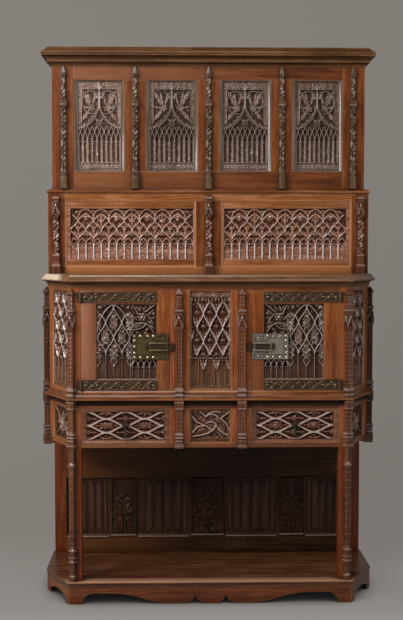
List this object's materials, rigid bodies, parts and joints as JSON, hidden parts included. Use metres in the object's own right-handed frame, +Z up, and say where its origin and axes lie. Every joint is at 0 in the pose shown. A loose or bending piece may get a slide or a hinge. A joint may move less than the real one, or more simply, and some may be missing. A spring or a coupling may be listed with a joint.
{
  "type": "gothic dressoir cabinet",
  "caption": "Carved oak dressoir with a tall panelled gallery, a canted cabinet with iron-bound doors, frieze drawers and an open stage on a plinth.",
  "frame": {"origin": "on the floor, at the middle of the plan under the whole piece", "axes": "+Z up, +X to the right seen from the front, the front faces -Y"},
  "size_m": [1.4198, 0.47, 2.3],
  "materials": {
    "oak_frame": "waxed oak, warm red-brown, worn edges",
    "oak_carved": "waxed carved oak, darker, dust in the hollows",
    "oak_board": "plain sawn oak boards, dull",
    "wrought_iron": "forged iron, dark and slightly polished by use"
  },
  "bodies": {
    "carcass": {"cabinet_centre_panel": "oak_carved", "cabinet_floor": "oak_board", "cant_panels": "oak_carved", "carcass_back_boards": "oak_board", "centre_stiles": "oak_frame", "colonnettes": "oak_frame", "corner_buttresses": "oak_frame", "corner_posts": "oak_frame", "cornice": "oak_frame", "cornice_board": "oak_board", "drawer_runners": "oak_board", "frieze_centre_panel": "oak_carved", "front_posts": "oak_frame", "front_rails": "oak_frame", "gallery_back_boards": "oak_board", "gallery_ends": "oak_board", "gradin_cap": "oak_frame", "gradin_panels": "oak_carved", "gradin_pinnacles": "oak_frame", "gradin_rails": "oak_frame", "gradin_stiles": "oak_frame", "hinge_pintles": "wrought_iron", "inner_buttresses": "oak_frame", "linenfold_panels": "oak_carved", "platform_board": "oak_frame", "plinth_front_apron": "oak_frame", "plinth_returns": "oak_frame", "rear_buttresses": "oak_frame", "rear_posts": "oak_frame", "return_rails": "oak_frame", "side_panels": "oak_carved", "stage_back_muntins": "oak_frame", "stage_back_rails": "oak_frame", "string_mould": "oak_frame", "tier_soffit": "oak_board", "upper_panels": "oak_carved", "upper_pinnacles": "oak_frame", "upper_rails": "oak_frame", "upper_stiles": "oak_frame", "worktop": "oak_frame", "worktop_bed_mould": "oak_frame"},
    "door_right": {"door_frame_right": "oak_frame", "door_panel_right": "oak_carved", "door_straps_right": "wrought_iron", "lock_plate_right": "wrought_iron"},
    "door_left": {"door_frame_left": "oak_frame", "door_panel_left": "oak_carved", "door_straps_left": "wrought_iron", "lock_plate_left": "wrought_iron"},
    "bolt_right": {"lock_bolt_right": "wrought_iron"},
    "bolt_left": {"lock_bolt_left": "wrought_iron"},
    "drawer_right": {"drawer_front_right": "oak_carved", "drawer_box_right": "oak_board", "pull_boss_right": "wrought_iron"},
    "drawer_left": {"drawer_front_left": "oak_carved", "drawer_box_left": "oak_board", "pull_boss_left": "wrought_iron"},
    "pull_right": {"pull_drop_right": "wrought_iron"},
    "pull_left": {"pull_drop_left": "wrought_iron"}
  },
  "joints": [
    {"name": "door_right_hinge", "type": "hinge", "parent": "carcass", "child": "door_right", "pos_m": [0.526, -0.215, 1.0795], "axis": [0, 0, 1], "range_deg": [0, 105]},
    {"name": "door_left_hinge", "type": "hinge", "parent": "carcass", "child": "door_left", "pos_m": [-0.526, -0.215, 1.0795], "axis": [0, 0, -1], "range_deg": [0, 105]},
    {"name": "bolt_right_slide", "type": "slide", "parent": "door_right", "child": "bolt_right", "axis": [1, 0, 0], "range_m": [0, 0.018]},
    {"name": "bolt_left_slide", "type": "slide", "parent": "door_left", "child": "bolt_left", "axis": [-1, 0, 0], "range_m": [0, 0.018]},
    {"name": "drawer_right_slide", "type": "slide", "parent": "carcass", "child": "drawer_right", "axis": [0, -1, 0], "range_m": [0, 0.28]},
    {"name": "drawer_left_slide", "type": "slide", "parent": "carcass", "child": "drawer_left", "axis": [0, -1, 0], "range_m": [0, 0.28]},
    {"name": "pull_right_hinge", "type": "hinge", "parent": "drawer_right", "child": "pull_right", "pos_m": [0.3455, -0.221, 0.7395], "axis": [-1, 0, 0], "range_deg": [0, 85]},
    {"name": "pull_left_hinge", "type": "hinge", "parent": "drawer_left", "child": "pull_left", "pos_m": [-0.3455, -0.221, 0.7395], "axis": [-1, 0, 0], "range_deg": [0, 85]}
  ]
}
